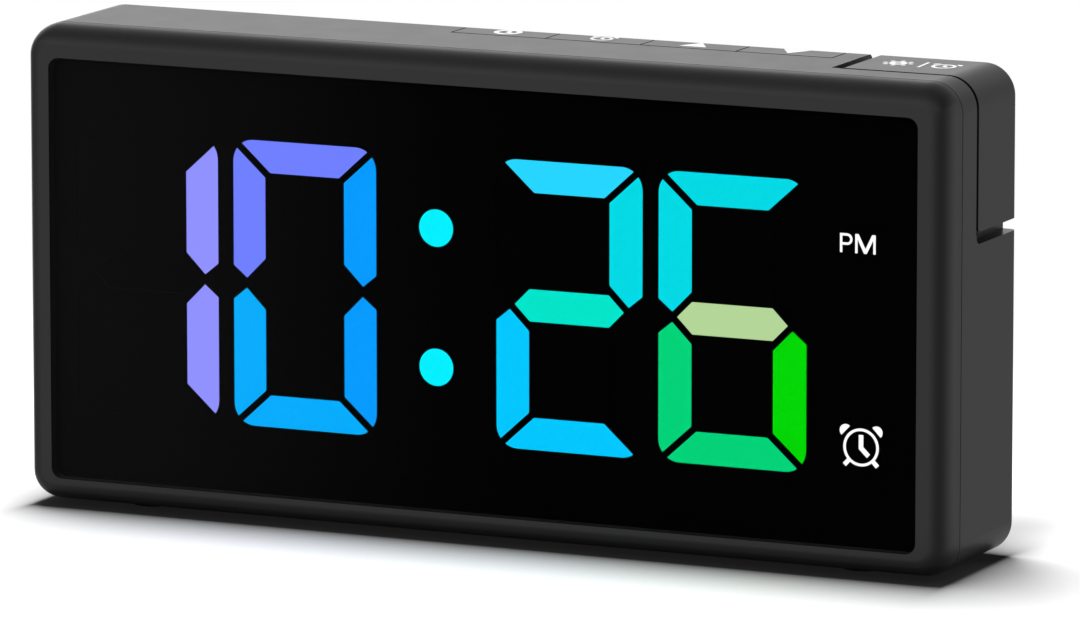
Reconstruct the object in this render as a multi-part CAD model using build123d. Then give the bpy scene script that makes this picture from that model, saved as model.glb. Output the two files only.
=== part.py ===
from build123d import *
from math import cos, radians, sin, sqrt
import os

# Digital LED desk clock in millimetres: a slim plastic case with a dark window, four keys and an
# L-shaped snooze bar over its top right corner.
# +X is to the clock's right as it is read, +Y is towards its back and +Z is up.
# The origin lies on the table under the middle of the case.

# Case
body_width = 160.0
body_height = 77.2
body_depth = 28.2
corner_radius = 5.0
front_round_across = 3.2
front_round_deep = 5.6
back_round = 1.2
wall = 2.0
inner_wall = 1.6
parting_depth = 6.0
parting_bevel = 0.15
lip_length = 1.2
lip_thickness = 1.0
fit_gap = 0.1
overrun = 3.0

# Feet
foot_stand = 0.8
foot_radius = 3.8
foot_seat_depth = 0.7
foot_edge = 0.3
foot_side_inset = 18.0
foot_front_inset = 4.6
foot_back_inset = 5.4

# Window and its printed mask
side_border = 4.95
top_border = 5.0
bottom_border = 4.05
window_corner = 1.8
window_recess = 0.2
window_thickness = 1.5
adhesive_gap = 0.1
mask_thickness = 0.2
seat_width = 2.4
bezel_thickness = 3.4

# Digits: they fill what the window leaves between these margins and gaps
display_left = 4.05
display_right = 19.15
digit_top_margin = 11.2
digit_bottom_margin = 10.95
digit_gap = 2.65
colon_gap = 20.8
digit_corner = 3.6
bar_across = 5.73
bar_deep = 5.16
segment_gap = 1.1
waist_inset = 2.4
waist_rise = 1.95
waist_angle = 45.0
colon_height = 22.2
colon_radius = 3.0
indicator_inset = 10.25
indicator_drop = 2.1
indicator_spacing = 32.0
indicator_radius = 4.2

# Reflector block, lenses and light-emitting chips
block_side_margin = 2.75
block_rim = 2.25
block_depth = 7.4
block_corner = 1.5
lens_thickness = 1.0
lens_fit = 0.05
lens_seat = 0.4
well_narrowing = 0.6
stake_radius = 1.0
stake_inset = 2.2
stake_head_radius = 1.6
stake_head_height = 0.6
led_long = 2.0
led_wide = 1.6
led_height = 0.8

# Circuit boards
board_thickness = 1.2
display_board_side_inset = 4.5
display_board_end_inset = 5.5
main_board_left = -28.0
main_board_right = 50.0
main_board_low = 12.0
main_board_headroom = 4.6
main_board_room = 7.4
main_boss_inset = 4.0
main_boss_radius = 2.4
hole_clearance = 0.25

# Case posts and screws
post_side_inset = 8.5
post_low = 9.0
post_top_inset = 9.2
front_boss_radius = 3.0
rear_post_radius = 3.8
tunnel_radius = 2.7
shoulder_depth = 15.0
screw_radius = 1.25
screw_head_radius = 2.3
screw_head_height = 1.7
screw_reach = 4.6
screw_recess_radius = 1.1
screw_recess_depth = 0.9
small_screw_radius = 0.9
small_head_radius = 1.8
small_head_height = 1.1
small_screw_reach = 3.2
thread_gap = 0.05
pilot_spare = 0.6

# Keys along the back of the top
key_count = 4
key_spacing = 16.4
keys_to_bar = 3.8
key_long = 6.9
key_gap = 0.3
key_thickness = 2.3
key_travel = 0.5
key_clearance = 0.3
stem_inset = 5.4
stem_radius = 1.3
stem_gap = 0.3
key_edge = 0.2

# Snooze bar over the top right corner
bar_wide = 22.6
bar_end_gap = 1.9
bar_depth = 12.25
bar_seam = 0.35
bar_drop = 24.2
bar_notch = 1.9
bar_thickness = 2.0
bar_travel = 0.8
bar_clearance = 0.3
bar_corner = 1.2
bar_stem_inset = 5.6
tongue_rise = 7.0
tongue_wide = 5.0
tongue_tall = 1.6
tongue_reach = 3.2

# Hooked guides under the keys and the bar
hook_wide = 2.4
hook_thick = 1.1
hook_catch = 0.6
hook_tall = 1.0
hook_gap = 0.1
hook_slot_gap = 0.25
key_hook_offset = 5.2
key_hook_inset = 3.7
bar_hook_setback = 4.3
bar_hook_inset = 2.6
bar_hook_spacing = 6.0

# Switches and the key board
switch_side = 4.5
switch_height = 3.0
switch_edge = 0.3
plunger_radius = 1.7
plunger_stand = 1.3
plunger_bore = 1.4
plunger_fit = 0.05
plunger_under = 0.3
key_board_front_inset = 9.4
key_board_back_inset = 2.4
key_board_end_gap = 4.0
key_boss_radius = 1.9
key_boss_depth_inset = 7.3
key_boss_side_inset = 1.9
key_boss_outset = 2.9

# Back-up cell, its bay and its turning cap
cell_x = -46.0
cell_drop = 23.0
cell_radius = 10.0
cell_thickness = 3.2
cell_edge = 0.4
cell_gap = 0.4
cell_end_gap = 0.1
bay_floor_wall = 1.2
bay_wall = 1.2
cap_radius = 12.6
cap_thickness = 1.6
cap_gap = 0.3
cap_edge = 0.3
cap_neck_radius = 10.9
rim_thickness = 1.0
lug_radius = 12.0
lug_thickness = 0.9
lug_gap = 0.15
lug_count = 3
lug_start_angle = 90.0
full_turn = 360.0
lug_angle = 30.0
lug_entry_angle = 40.0
cap_turn = 60.0
coin_slot_long = 14.0
coin_slot_wide = 1.8
coin_slot_deep = 0.9
contact_thickness = 0.3
contact_wide = 3.0
rim_contact_tall = 2.6
contact_landing = 2.5
contact_offset = 6.0
contact_slot_gap = 0.2

# Buzzer and its sound holes
buzzer_x = -12.0
buzzer_height_place = 24.0
buzzer_radius = 6.0
buzzer_length = 5.0
buzzer_edge = 0.5
buzzer_port_radius = 1.2
buzzer_port_depth = 1.5
sound_hole_radius = 0.75
sound_hole_spacing = 2.7
sound_rings = 2
hexagon_sides = 6

# Power inlet, a USB-C receptacle
inlet_x = 36.0
inlet_height_place = 24.0
inlet_wide = 8.94
inlet_tall = 3.26
inlet_length = 6.2
inlet_metal = 0.3
inlet_cut_gap = 0.4
inlet_tongue_wide = 6.7
inlet_tongue_thick = 0.7
inlet_tongue_length = 4.6
inlet_base = 1.4

# Parts on the main board
chip_x = 6.0
chip_drop = 15.0
chip_long = 12.8
chip_wide = 7.5
chip_height = 2.2
chip_stand = 0.2
chip_edge = 0.25
lead_count = 10
lead_spacing = 1.27
lead_wide = 0.45
lead_thick = 0.3
lead_out = 1.1
header_x = 20.0
header_drop = 8.0
header_long = 20.32
header_wide = 2.5
header_base = 2.5
capacitor_radius = 2.5
capacitor_length = 4.9
capacitor_edge = 0.4
capacitor_x = 22.0
capacitor_low = 20.5
capacitor_spacing = 7.0

# Places that follow from the sizes above
half_width = body_width / 2
half_depth = body_depth / 2
window_width = body_width - 2 * side_border
window_height = body_height - top_border - bottom_border
window_middle = bottom_border + window_height / 2
mask_front = window_recess + window_thickness + adhesive_gap
seat_depth = mask_front + mask_thickness
block_width = window_width - 2 * block_side_margin
block_back = seat_depth + block_depth
display_board_back = block_back + board_thickness
main_board_back = body_depth - main_board_room
main_board_depth = main_board_back - board_thickness
back_wall_depth = body_depth - wall
bar_left = half_width - bar_wide
bar_low = body_height - bar_drop
bar_stem_x = bar_left + bar_stem_inset
bar_hook_depth = bar_depth + bar_hook_setback
bar_hook_left = bar_left + bar_hook_inset
bar_hook_right = bar_hook_left + bar_hook_spacing
tongue_height = bar_low + tongue_rise
tongue_depth = (bar_depth + body_depth) / 2
keys_right = bar_left - bar_end_gap - keys_to_bar
keys_left = keys_right - key_count * key_spacing
keys_depth = body_depth - key_long
stem_depth = body_depth - stem_inset
key_hook_depth = body_depth - key_hook_inset
key_floor = body_height - key_thickness - key_travel - key_clearance
bar_floor = body_height - bar_thickness - bar_travel - bar_clearance
bar_side = half_width - bar_thickness - bar_clearance
switch_top = key_floor - inner_wall - stem_gap - plunger_stand
key_board_top = switch_top - switch_height
key_board_end = bar_stem_x + key_board_end_gap
key_boss_depth = body_depth - key_boss_depth_inset
key_boss_x = (keys_left + key_boss_side_inset, (keys_left + keys_right) / 2, keys_right + key_boss_outset)
main_board_high = key_board_top - board_thickness - small_head_height - main_board_headroom
header_height_place = main_board_high - header_drop
chip_height_place = header_height_place - chip_drop
cell_height_place = main_board_high - cell_drop
cap_seat_depth = body_depth - cap_thickness
rim_inner_depth = cap_seat_depth - rim_thickness
cap_inner_depth = rim_inner_depth - lug_gap - lug_thickness
bay_floor_depth = main_board_back
bay_radius = cell_radius + cell_gap
groove_radius = lug_radius + cap_gap
groove_bottom = cap_inner_depth - cap_gap
display_width = window_width - display_left - display_right
digit_width = (display_width - colon_gap - 2 * digit_gap) / 4
digit_height = window_height - digit_top_margin - digit_bottom_margin
digit_middle = bottom_border + digit_bottom_margin + digit_height / 2
digit_step = digit_width + digit_gap
first_digit_x = display_left + digit_width / 2 - window_width / 2
third_digit_x = first_digit_x + digit_step + digit_width + colon_gap
digit_places = (first_digit_x, first_digit_x + digit_step, third_digit_x, third_digit_x + digit_step)
colon_x = (digit_places[1] + digit_places[2]) / 2
indicator_x = window_width / 2 - indicator_inset
indicator_middle = digit_middle - indicator_drop
block_height = digit_height + 2 * block_rim
post_places = [(x, z) for x in (post_side_inset - half_width, half_width - post_side_inset)
               for z in (post_low, body_height - post_top_inset)]
foot_places = [(x, depth) for x in (foot_side_inset - half_width, half_width - foot_side_inset)
               for depth in (parting_depth + foot_front_inset, body_depth - foot_back_inset)]
capacitor_places = [(capacitor_x, capacitor_low), (capacitor_x, capacitor_low + capacitor_spacing)]
main_boss_places = [(x, z) for x in (main_board_left + main_boss_inset, main_board_right - main_boss_inset)
                    for z in (main_board_low + main_boss_inset, main_board_high - main_boss_inset)]
stake_places = [(x, z) for x in (stake_inset - block_width / 2, block_width / 2 - stake_inset)
                for z in (digit_middle + stake_inset - block_height / 2,
                          digit_middle + block_height / 2 - stake_inset)]


# Helpers
def behind(depth):
    """Y of a place that lies this far behind the front face."""
    return depth - half_depth


def above(height):
    """Z of a place that lies this high above the underside of the case."""
    return foot_stand + height


def slab(outline, near, far):
    """A front-view outline made solid between two depths behind the front face."""
    far_plane = Plane(origin=(0, behind(far), 0), x_dir=(1, 0, 0), z_dir=(0, -1, 0))
    return extrude(far_plane * outline, far - near, dir=(0, -1, 0))


def at(x, height, outline):
    """A front-view outline moved to a place on the case."""
    return Pos(x, above(height)) * outline


def rod(x, height, near, far, radius):
    """A round bar that runs front to back."""
    return slab(at(x, height, Circle(radius)), near, far)


def pillar(x, depth, low, high, radius):
    """A round bar that stands upright."""
    foot = Plane(origin=(x, behind(depth), above(low)))
    return extrude(foot * Circle(radius), high - low)


def brick(left, right, near, far, low, high):
    """A box between two places each way."""
    middle = Pos((left + right) / 2, behind((near + far) / 2), above((low + high) / 2))
    return middle * Box(right - left, far - near, high - low)


def side_slab(outline, left, right):
    """A side-view outline, drawn in depth and height, made solid between two places in X."""
    left_plane = Plane(origin=(left, 0, 0), x_dir=(0, 1, 0), z_dir=(1, 0, 0))
    return extrude(left_plane * outline, right - left)


def rounded_below(corner_depth, low, radius):
    """Side view of all that lies behind a depth and over a height, its lower front corner rounded."""
    far = body_depth + overrun
    high = body_height + overrun
    middle = Pos(behind((corner_depth + far) / 2), above((low + high) / 2))
    outline = middle * Rectangle(far - corner_depth, high - low)
    corner = outline.vertices().group_by(Axis.Y)[0].sort_by(Axis.X)[0]
    return fillet(corner, radius)


def core_outline(right, top, radius):
    """Front view of all that lies left of a place and under a height, its top right corner rounded."""
    left = -half_width - overrun
    low = -foot_stand - overrun
    outline = at((left + right) / 2, (low + top) / 2, Rectangle(right - left, top - low))
    corner = outline.vertices().group_by(Axis.Y)[-1].sort_by(Axis.X)[-1]
    return fillet(corner, radius)


def inset_outline(inset, radius):
    """Front view of the case drawn in by an inset."""
    outline = RectangleRounded(body_width - 2 * inset, body_height - 2 * inset, radius)
    return at(0, body_height / 2, outline)


def front_edge_cut():
    """What the oval round takes off the front edge: deeper front to back than it is across the face."""
    face_plane = Plane(origin=(0, behind(0), 0), x_dir=(1, 0, 0), z_dir=(0, -1, 0))
    path = (face_plane * inset_outline(0, corner_radius)).faces()[0].outer_wire()
    corner = Rectangle(front_round_across + overrun, front_round_deep + overrun)
    profile = Pos((overrun - front_round_across) / 2, (front_round_deep - overrun) / 2) * corner
    profile -= Pos(-front_round_across, front_round_deep) * Ellipse(front_round_across, front_round_deep)
    side_plane = Plane(origin=(half_width, behind(0), above(body_height / 2)))
    return sweep(side_plane * profile, path=path)


def body_form():
    """The outer form that every outer piece of the case is cut from."""
    form = slab(inset_outline(0, corner_radius), 0, body_depth)
    form = fillet(form.faces().sort_by(Axis.Y)[-1].edges(), back_round)
    return form - front_edge_cut()


# Digit outlines
def segment_outlines():
    """The seven segments of a digit about its own middle, in the usual order from a to g."""
    half_w = digit_width / 2
    half_h = digit_height / 2
    mitre = sqrt(bar_across ** 2 + bar_deep ** 2)
    shift_x = segment_gap / 2 * mitre / bar_deep
    shift_z = segment_gap / 2 * mitre / bar_across
    waist_shift = segment_gap / 2 / sin(radians(waist_angle))
    middle_end = half_w - waist_inset - waist_shift
    top = Polygon(
        (shift_x - half_w, half_h), (half_w - shift_x, half_h),
        (half_w - bar_across - shift_x, half_h - bar_deep),
        (bar_across + shift_x - half_w, half_h - bar_deep), align=None)
    upper_right = Polygon(
        (half_w, half_h - shift_z), (half_w, waist_shift + waist_rise),
        (half_w - waist_inset, waist_shift),
        (half_w - bar_across, waist_shift + bar_across - waist_inset),
        (half_w - bar_across, half_h - bar_deep - shift_z), align=None)
    middle = Polygon(
        (-middle_end, 0), (bar_deep / 2 - middle_end, bar_deep / 2),
        (middle_end - bar_deep / 2, bar_deep / 2), (middle_end, 0),
        (middle_end - bar_deep / 2, -bar_deep / 2),
        (bar_deep / 2 - middle_end, -bar_deep / 2), align=None)
    lower_right = mirror(upper_right, about=Plane.XZ)
    outlines = [top, upper_right, lower_right, mirror(top, about=Plane.XZ),
                mirror(lower_right, about=Plane.YZ), mirror(upper_right, about=Plane.YZ), middle]
    envelope = RectangleRounded(digit_width, digit_height, digit_corner)
    return [outline & envelope for outline in outlines]


def digit_outlines(x):
    """The seven segments of the digit at a place on the display."""
    return [at(x, digit_middle, outline) for outline in segment_outlines()]


def colon_outlines():
    return [at(colon_x, digit_middle + side * colon_height / 2, Circle(colon_radius)) for side in (-1, 1)]


def indicator_outline(side):
    return at(indicator_x, indicator_middle + side * indicator_spacing / 2, Circle(indicator_radius))


def cut_out_outlines():
    """Every place where light leaves the block through the mask."""
    outlines = [outline for x in digit_places for outline in digit_outlines(x)]
    return outlines + colon_outlines()


# Front of the case
def front_frame():
    """Bezel with the window's seat, the locating lip and the four screw bosses."""
    frame = body_form() & slab(inset_outline(-overrun, corner_radius), -overrun, parting_depth)
    frame = chamfer(frame.faces().sort_by(Axis.Y)[-1].edges(), parting_bevel)
    lip_outline = inset_outline(wall + fit_gap, corner_radius - wall)
    frame += slab(lip_outline, bezel_thickness, parting_depth + lip_length)
    inner_outline = inset_outline(wall + fit_gap + lip_thickness, corner_radius - wall - lip_thickness)
    opening = RectangleRounded(window_width - 2 * seat_width, window_height - 2 * seat_width, window_corner)
    seat = RectangleRounded(window_width, window_height, window_corner)
    frame -= slab(inner_outline, bezel_thickness, body_depth)
    frame -= slab(at(0, window_middle, opening), -overrun, body_depth)
    frame -= slab(at(0, window_middle, seat), -overrun, seat_depth)
    for x, z in post_places:
        frame += rod(x, z, seat_depth, block_back, front_boss_radius)
    for x, z in post_places:
        frame -= rod(x, z, screw_reach - pilot_spare, body_depth, screw_radius + thread_gap)
    return frame


def display_window():
    outline = RectangleRounded(window_width - 2 * fit_gap, window_height - 2 * fit_gap, window_corner)
    return slab(at(0, window_middle, outline), window_recess, window_recess + window_thickness)


def display_mask():
    outline = RectangleRounded(window_width - 2 * fit_gap, window_height - 2 * fit_gap, window_corner)
    mask = slab(at(0, window_middle, outline), mask_front, seat_depth)
    holes = [slab(hole, mask_front - overrun, seat_depth + overrun) for hole in cut_out_outlines()]
    return mask - holes


# Display
def well(outline):
    """The mouth that a lens seats in, and the well that narrows from it down to its chip."""
    lens_back = seat_depth + lens_thickness
    mouth = slab(offset(outline, lens_fit, kind=Kind.INTERSECTION), seat_depth - overrun, lens_back)
    rings = []
    for depth, inset in ((lens_back, lens_seat), (block_back + fit_gap, lens_seat + well_narrowing)):
        ring_plane = Plane(origin=(0, behind(depth), 0), x_dir=(1, 0, 0), z_dir=(0, -1, 0))
        ring = offset(outline, -inset, kind=Kind.INTERSECTION)
        rings.append((ring_plane * ring).faces()[0])
    return mouth + loft(rings, ruled=True)


def reflector_block():
    outline = RectangleRounded(block_width, block_height, block_corner)
    block = slab(at(0, digit_middle, outline), seat_depth, block_back)
    outlines = cut_out_outlines() + [indicator_outline(-1), indicator_outline(1)]
    block -= [well(outline) for outline in outlines]
    for x, z in stake_places:
        block += rod(x, z, block_back - lens_thickness, display_board_back + fit_gap, stake_radius)
        block += rod(x, z, display_board_back, display_board_back + stake_head_height, stake_head_radius)
    return block


def lenses(outlines):
    """Milky lenses that close the wells, flush with the front of the block."""
    return Compound([slab(outline, seat_depth, seat_depth + lens_thickness) for outline in outlines])


def led_chips():
    """One light-emitting chip at the bottom of each well."""
    outlines = cut_out_outlines() + [indicator_outline(-1), indicator_outline(1)]
    chips = []
    for outline in outlines:
        middle = outline.bounding_box().center()
        chip = Pos(middle.X, middle.Y) * Rectangle(led_long, led_wide)
        chips.append(slab(chip, block_back - led_height, block_back))
    return Compound(chips)


def display_board():
    outline = RectangleRounded(body_width - 2 * display_board_side_inset,
                               body_height - 2 * display_board_end_inset, block_corner)
    board = slab(at(0, body_height / 2, outline), block_back, display_board_back)
    board -= [rod(x, z, 0, body_depth, screw_radius + hole_clearance) for x, z in post_places]
    board -= [rod(x, z, 0, body_depth, stake_radius + lens_fit) for x, z in stake_places]
    return board


# Back of the case
def bar_zone(grow):
    """The space behind the seam and over the notch that the snooze bar and its gaps take up."""
    side_view = rounded_below(bar_depth - bar_seam - grow, bar_low - bar_notch - grow, bar_corner + grow)
    return side_slab(side_view, bar_left - bar_end_gap - grow, half_width + overrun)


def bar_core(grow):
    """What stays of the case under the bar, less a wall thickness if wanted."""
    outline = core_outline(bar_side - grow, bar_floor - grow, corner_radius - bar_thickness - grow)
    return slab(outline, -overrun, body_depth + 2 * overrun)


def key_zone(grow):
    """The trough that the keys lie in, open at the back."""
    return brick(keys_left - key_gap - grow, keys_right + grow, keys_depth - key_gap - grow,
                 body_depth + overrun, key_floor - grow, body_height + overrun)


def cavity():
    """The inside of the case, clear of the walls under the bar and the keys."""
    inside = slab(inset_outline(wall, corner_radius - wall), parting_depth - overrun, back_wall_depth)
    inside -= bar_zone(inner_wall) - bar_core(inner_wall)
    return inside - key_zone(inner_wall)


def hook_slots():
    """Slots in the floors for the hooked guides, and holes for the stems."""
    slots = []
    for x in key_middles():
        for side in (-1, 1):
            slots.append(guide_slot(x + side * key_hook_offset, key_hook_depth, key_floor))
        slots.append(pillar(x, stem_depth, key_floor - inner_wall - overrun, key_floor + overrun,
                            stem_radius + hook_slot_gap))
    for x in (bar_hook_left, bar_hook_right):
        slots.append(guide_slot(x, bar_hook_depth, bar_floor))
    slots.append(pillar(bar_stem_x, stem_depth, bar_floor - inner_wall - overrun, bar_floor + overrun,
                        stem_radius + hook_slot_gap))
    return slots


def guide_slot(x, depth, floor):
    wide = hook_wide / 2 + hook_slot_gap
    thick = hook_thick / 2 + hook_slot_gap
    return brick(x - wide, x + wide, depth - thick, depth + thick,
                 floor - inner_wall - overrun, floor + overrun)


def key_middles():
    return [keys_left + (index + 1 / 2) * key_spacing - key_gap / 2 for index in range(key_count)]


def sound_holes():
    """Holes for the buzzer in hexagonal rings."""
    rows = range(-sound_rings, sound_rings + 1)
    holes = []
    for across in rows:
        for up in rows:
            if abs(across + up) <= sound_rings:
                x = buzzer_x + (across + up / 2) * sound_hole_spacing
                z = buzzer_height_place + up * sound_hole_spacing * sin(radians(full_turn / hexagon_sides))
                holes.append(rod(x, z, back_wall_depth - overrun, body_depth + overrun, sound_hole_radius))
    return holes


def inlet_outline(grow):
    """Front view of the receptacle: a stadium grown or shrunk all round."""
    tall = inlet_tall + 2 * grow
    return at(inlet_x, inlet_height_place, SlotOverall(inlet_wide + 2 * grow, tall))


def wedge(radius, near, far, middle_angle, angle):
    """A sector of a disc about the cell's axis."""
    reach = 2 * radius
    half = radians(angle / 2)
    turn = radians(middle_angle)
    points = [(0, 0)]
    for side in (-1, 0, 1):
        points.append((reach * cos(turn + side * half), reach * sin(turn + side * half)))
    sector = Polygon(*points, align=None) & Circle(radius)
    return slab(at(cell_x, cell_height_place, sector), near, far)


def cell_bay():
    """Cup that holds the back-up cell inside the case."""
    return rod(cell_x, cell_height_place, bay_floor_depth - bay_floor_wall, back_wall_depth + fit_gap,
               groove_radius + bay_wall)


def cell_bay_cuts():
    """The hollow of the cup, the cap's seat, and the rim with its entries for the lugs."""
    def bore(near, far, radius):
        return rod(cell_x, cell_height_place, near, far, radius)
    cuts = [bore(bay_floor_depth, groove_bottom + fit_gap, bay_radius),
            bore(groove_bottom, rim_inner_depth, groove_radius),
            bore(rim_inner_depth - fit_gap, cap_seat_depth + fit_gap, cap_neck_radius + cap_gap),
            bore(cap_seat_depth, body_depth + overrun, cap_radius + cap_gap)]
    for index in range(lug_count):
        middle_angle = lug_start_angle - cap_turn + index * full_turn / lug_count
        cuts.append(wedge(groove_radius, rim_inner_depth - fit_gap, cap_seat_depth + fit_gap,
                          middle_angle, lug_entry_angle))
    return cuts


def contact_slots():
    """Ways out of the cup for the tails of the two contacts, the taller one for the rim contact."""
    slots = []
    for offset_z, tall in ((0, contact_thickness), (contact_offset, rim_contact_tall)):
        low = cell_height_place + offset_z - contact_wide / 2 - contact_slot_gap
        high = cell_height_place + offset_z + contact_wide / 2 + contact_slot_gap
        back = bay_floor_depth + tall + contact_slot_gap
        slots.append(brick(cell_x, main_board_left, bay_floor_depth, back, low, high))
    return slots


def rear_housing():
    """Tub of the case with its posts, bosses, cell bay and the troughs of the keys and the bar."""
    tub = body_form() & slab(inset_outline(-overrun, corner_radius), parting_depth, body_depth + overrun)
    tub = chamfer(tub.faces().sort_by(Axis.Y)[0].edges(), parting_bevel)
    tub -= cavity()
    tub -= bar_zone(0) - bar_core(0)
    tub -= key_zone(0)
    tub += [rod(x, z, display_board_back, back_wall_depth + fit_gap, rear_post_radius)
            for x, z in post_places]
    tub += [rod(x, z, main_board_back, back_wall_depth + fit_gap, main_boss_radius)
            for x, z in main_boss_places]
    tub += [pillar(x, key_boss_depth, key_board_top, key_floor - inner_wall + fit_gap, key_boss_radius)
            for x in key_boss_x]
    tub += cell_bay()
    cuts = hook_slots() + sound_holes() + cell_bay_cuts() + contact_slots()
    cuts += [rod(x, z, shoulder_depth, body_depth + overrun, tunnel_radius) for x, z in post_places]
    cuts += [rod(x, z, 0, body_depth, screw_radius + hole_clearance) for x, z in post_places]
    pilot_reach = small_screw_reach + pilot_spare - board_thickness
    pilot_radius = small_screw_radius + thread_gap
    cuts += [rod(x, z, main_board_back - overrun, main_board_back + pilot_reach, pilot_radius)
             for x, z in main_boss_places]
    cuts += [pillar(x, key_boss_depth, key_board_top - overrun, key_board_top + pilot_reach, pilot_radius)
             for x in key_boss_x]
    cuts += [Pos(x, y) * Cylinder(foot_radius + fit_gap, 2 * (foot_stand + foot_seat_depth))
             for x, y in feet_xy()]
    cuts.append(slab(inlet_outline(inlet_cut_gap), back_wall_depth - overrun, body_depth + overrun))
    cuts.append(tongue(bar_clearance))
    tub -= cuts
    return tub


def feet_xy():
    """Middles of the four feet in plan."""
    return [(x, behind(depth)) for x, depth in foot_places]


def foot(x, y):
    pad = Cylinder(foot_radius, foot_stand + foot_seat_depth, align=(Align.CENTER, Align.CENTER, Align.MIN))
    pad = chamfer(pad.edges().group_by(Axis.Z)[0], foot_edge)
    return Pos(x, y) * pad


# Keys and snooze bar
def hook(x, depth, floor, under):
    """Guide that hangs through a slot and catches under the floor."""
    top = under + fit_gap
    catch_top = floor - inner_wall - hook_gap
    left = x - hook_wide / 2
    right = x + hook_wide / 2
    front = depth - hook_thick / 2
    back = depth + hook_thick / 2
    leg = brick(left, right, front, back, catch_top - hook_tall, top)
    return leg + brick(left, right, front - hook_catch, back, catch_top - hook_tall, catch_top)


def key(index):
    """One key: its cap follows the form of the case, with a stem and two hooked guides below."""
    left = keys_left + index * key_spacing
    cap = body_form() & brick(left, left + key_spacing - key_gap, keys_depth, body_depth + overrun,
                              body_height - key_thickness, body_height + overrun)
    front = cap.edges().filter_by(Axis.X).group_by(Axis.Z)[-1].sort_by(Axis.Y)[0]
    cap = chamfer(front, key_edge)
    middle = key_middles()[index]
    under = body_height - key_thickness
    cap += pillar(middle, stem_depth, switch_top + plunger_stand, under + fit_gap, stem_radius)
    for side in (-1, 1):
        cap += hook(middle + side * key_hook_offset, key_hook_depth, key_floor, under)
    return cap


def tongue(grow):
    """Tongue behind the leg of the bar, or the slot that it slides in."""
    low = tongue_height - tongue_tall / 2 - grow
    if grow:
        low -= bar_travel
    reach = tongue_reach + grow
    right = half_width - bar_thickness + fit_gap
    return brick(right - fit_gap - reach, right, tongue_depth - tongue_wide / 2 - grow,
                 tongue_depth + tongue_wide / 2 + grow, low, tongue_height + tongue_tall / 2 + grow)


def snooze_bar():
    """L-shaped bar: a skin over the top right corner with a stem, two hooked guides and a tongue."""
    side_view = rounded_below(bar_depth, bar_low, bar_corner)
    bar = body_form() & side_slab(side_view, bar_left, half_width + overrun)
    inner = core_outline(half_width - bar_thickness, body_height - bar_thickness,
                         corner_radius - bar_thickness)
    bar -= slab(inner, -overrun, body_depth + overrun)
    under = body_height - bar_thickness
    bar += pillar(bar_stem_x, stem_depth, switch_top + plunger_stand, under + fit_gap, stem_radius)
    for x in (bar_hook_left, bar_hook_right):
        bar += hook(x, bar_hook_depth, bar_floor, under)
    return bar + tongue(0)


# Switches
def switch_places():
    return key_middles() + [bar_stem_x]


def switch(x):
    """Push switch with the bore that its plunger slides in."""
    half = switch_side / 2
    case = brick(x - half, x + half, stem_depth - half, stem_depth + half, key_board_top, switch_top)
    case = chamfer(case.edges().filter_by(Axis.Z), switch_edge)
    return case - pillar(x, stem_depth, switch_top - plunger_bore, switch_top + overrun,
                         plunger_radius + plunger_fit)


def plunger(x):
    """Plunger that goes down with its key: its foot stays inside the switch."""
    return pillar(x, stem_depth, switch_top - plunger_under, switch_top + plunger_stand, plunger_radius)


def key_board():
    board = brick(keys_left, key_board_end, body_depth - key_board_front_inset,
                  body_depth - key_board_back_inset, key_board_top - board_thickness, key_board_top)
    holes = [pillar(x, key_boss_depth, key_board_top - board_thickness - overrun, key_board_top + overrun,
                    small_screw_radius + hole_clearance) for x in key_boss_x]
    return board - holes


# Main board and what it carries
def main_board():
    board = brick(main_board_left, main_board_right, main_board_depth, main_board_back,
                  main_board_low, main_board_high)
    holes = [rod(x, z, 0, body_depth, small_screw_radius + hole_clearance) for x, z in main_boss_places]
    return board - holes


def controller_chip():
    """Driver chip on the front of the main board, with two rows of leads."""
    near = main_board_depth - chip_stand - chip_height
    body = brick(chip_x - chip_long / 2, chip_x + chip_long / 2, near, main_board_depth - chip_stand,
                 chip_height_place - chip_wide / 2, chip_height_place + chip_wide / 2)
    body = chamfer(body.faces().sort_by(Axis.Y)[0].edges(), chip_edge)
    knee = near + chip_height / 2
    for index in range(lead_count):
        left = chip_x + (index - (lead_count - 1) / 2) * lead_spacing - lead_wide / 2
        right = left + lead_wide
        for side in (-1, 1):
            root = chip_height_place + side * chip_wide / 2
            tip = root + side * lead_out
            low, high = sorted((root - side * lead_thick, tip))
            body += brick(left, right, knee - lead_thick / 2, knee + lead_thick / 2, low, high)
            low, high = sorted((tip - side * lead_thick, tip))
            body += brick(left, right, knee - lead_thick / 2, main_board_depth, low, high)
    return body


def header_socket():
    """Socket on the back of the display board that takes the pins of the main board."""
    half = header_long / 2
    return brick(header_x - half, header_x + half, display_board_back, main_board_depth - header_base,
                 header_height_place - header_wide / 2, header_height_place + header_wide / 2)


def header_strip():
    """Plastic base of the pin strip on the main board."""
    half = header_long / 2
    return brick(header_x - half, header_x + half, main_board_depth - header_base, main_board_depth,
                 header_height_place - header_wide / 2, header_height_place + header_wide / 2)


def buzzer():
    back = main_board_back + buzzer_length
    case = rod(buzzer_x, buzzer_height_place, main_board_back, back, buzzer_radius)
    case = chamfer(case.faces().sort_by(Axis.Y)[-1].edges(), buzzer_edge)
    return case - rod(buzzer_x, buzzer_height_place, back - buzzer_port_depth, back + overrun,
                      buzzer_port_radius)


def capacitor(x, z):
    can = rod(x, z, main_board_back, main_board_back + capacitor_length, capacitor_radius)
    return chamfer(can.faces().sort_by(Axis.Y)[-1].edges(), capacitor_edge)


def inlet_shell():
    """Metal shell of the receptacle, open at the back of the case."""
    shell = slab(inlet_outline(0), main_board_back, main_board_back + inlet_length)
    return shell - slab(inlet_outline(-inlet_metal), main_board_back + inlet_base, body_depth + overrun)


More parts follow.
